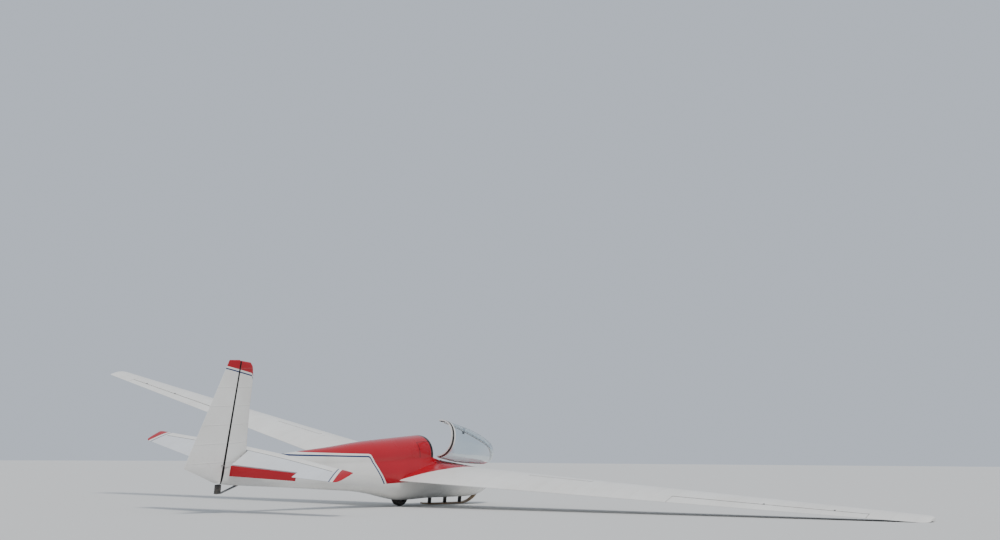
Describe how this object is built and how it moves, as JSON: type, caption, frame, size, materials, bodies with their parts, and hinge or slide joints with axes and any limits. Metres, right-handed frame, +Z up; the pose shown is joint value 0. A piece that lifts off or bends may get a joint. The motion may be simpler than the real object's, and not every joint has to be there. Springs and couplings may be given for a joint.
{
  "type": "two-seat training sailplane",
  "caption": "Wooden two-seat training glider parked on its wheel, nose skid and lower wing tip, canopy swung open to one side, all-moving tail drooped.",
  "frame": {"origin": "on the ground under the middle of the parked machine's bounding box", "axes": "+Z up, nose towards -Y, port wing towards +X; the machine sits nose up by its skid and banked down to starboard"},
  "size_m": [17.9614, 7.6158, 2.7318],
  "materials": {
    "white_paint": "white gloss paint over fabric",
    "white_fabric": "white doped fabric over a wooden frame",
    "red_wood": "red gloss paint over plywood",
    "cream_wood": "cream gloss paint over plywood",
    "bare_wood": "varnished plywood and ash",
    "steel": "plain steel",
    "dark_steel": "black painted steel",
    "tyre": "black rubber tyre",
    "rubber": "black rubber",
    "cloth": "dark upholstery cloth",
    "black_plastic": "black plastic",
    "clear_plastic": "clear moulded acrylic"
  },
  "bodies": {
    "airframe": {"centre_fuselage": "red_wood", "cockpit_floor": "bare_wood", "cockpit_shell": "red_wood", "fin": "white_fabric", "front_canopy_hinge": "steel", "front_skid_block": "rubber", "instrument_panel": "black_plastic", "main_axle": "dark_steel", "middle_skid_block": "rubber", "nose_shell": "cream_wood", "nose_skid": "bare_wood", "port_back_cushion": "cloth", "port_pedals": "steel", "port_seat_cushion": "cloth", "port_seat_pan": "bare_wood", "port_stick": "black_plastic", "port_wheel_plate": "dark_steel", "port_wing": "white_fabric", "port_wing_tip": "white_fabric", "rear_canopy_hinge": "steel", "rear_skid_block": "rubber", "seat_bulkhead": "bare_wood", "starboard_back_cushion": "cloth", "starboard_pedals": "steel", "starboard_seat_cushion": "cloth", "starboard_seat_pan": "bare_wood", "starboard_stick": "black_plastic", "starboard_wheel_plate": "dark_steel", "starboard_wing": "white_fabric", "starboard_wing_tip": "white_fabric", "tail_boom": "cream_wood", "tail_skid_shoe": "rubber", "tail_skid_spring": "dark_steel"},
    "main_wheel": {"main_tyre": "tyre", "main_wheel_hub": "steel"},
    "canopy": {"canopy_frame": "white_paint", "canopy_glass": "clear_plastic", "canopy_handle": "dark_steel", "canopy_latch": "dark_steel"},
    "rudder": {"port_rudder_horn": "dark_steel", "rudder": "white_fabric", "starboard_rudder_horn": "dark_steel"},
    "tailplane": {"port_tailplane": "white_fabric", "starboard_tailplane": "white_fabric", "tailplane_tube": "steel"},
    "starboard_tab": {"starboard_tab": "white_fabric"},
    "port_aileron": {"port_aileron": "white_fabric"},
    "starboard_aileron": {"starboard_aileron": "white_fabric"},
    "port_airbrake": {"port_airbrake": "white_fabric"},
    "starboard_airbrake": {"starboard_airbrake": "white_fabric"}
  },
  "joints": [
    {"name": "main_wheel_spin", "type": "hinge", "parent": "airframe", "child": "main_wheel", "pos_m": [0.17406, -1.15765, 0.19001], "axis": [0.9892, 0, 0.1467], "continuous": true},
    {"name": "canopy_hinge", "type": "hinge", "parent": "airframe", "child": "canopy", "pos_m": [-0.2895, -1.7116, 0.80734], "axis": [0.0733, -0.9912, -0.1102], "range_deg": [-78, 2]},
    {"name": "rudder_hinge", "type": "hinge", "parent": "airframe", "child": "rudder", "pos_m": [0.13745, 3.14228, 0.43689], "axis": [-0.1464, -0.0594, 0.9874], "range_deg": [-30, 30]},
    {"name": "tailplane_pivot", "type": "hinge", "parent": "airframe", "child": "tailplane", "pos_m": [0.07753, 2.74785, 0.84102], "axis": [0.9892, 0, 0.1467], "range_deg": [0, 26]},
    {"name": "starboard_tab_hinge", "type": "hinge", "parent": "tailplane", "child": "starboard_tab", "pos_m": [-0.00834, 2.99934, 0.70426], "axis": [0.9882, 0.1287, 0.0831], "range_deg": [0, 80]},
    {"name": "port_aileron_hinge", "type": "hinge", "parent": "airframe", "child": "port_aileron", "pos_m": [5.24571, -1.3124, 1.77995], "axis": [0.9695, -0.074, 0.2337], "range_deg": [-20, 20]},
    {"name": "starboard_aileron_hinge", "type": "hinge", "parent": "airframe", "child": "starboard_aileron", "pos_m": [-5.14074, -1.3124, 0.23992], "axis": [0.9956, 0.074, 0.0577], "range_deg": [-20, 20]},
    {"name": "port_airbrake_slide", "type": "slide", "parent": "airframe", "child": "port_airbrake", "axis": [-0.1463, 0.0698, 0.9868], "range_m": [0, 0.115]},
    {"name": "starboard_airbrake_slide", "type": "slide", "parent": "airframe", "child": "starboard_airbrake", "axis": [-0.1463, 0.0698, 0.9868], "range_m": [0, 0.115]}
  ],
  "couplings": [
    {"joint": "starboard_tab_hinge", "follows": "tailplane_pivot", "ratio": 3},
    {"joint": "starboard_aileron_hinge", "follows": "port_aileron_hinge", "ratio": -1},
    {"joint": "starboard_airbrake_slide", "follows": "port_airbrake_slide", "ratio": 1}
  ]
}
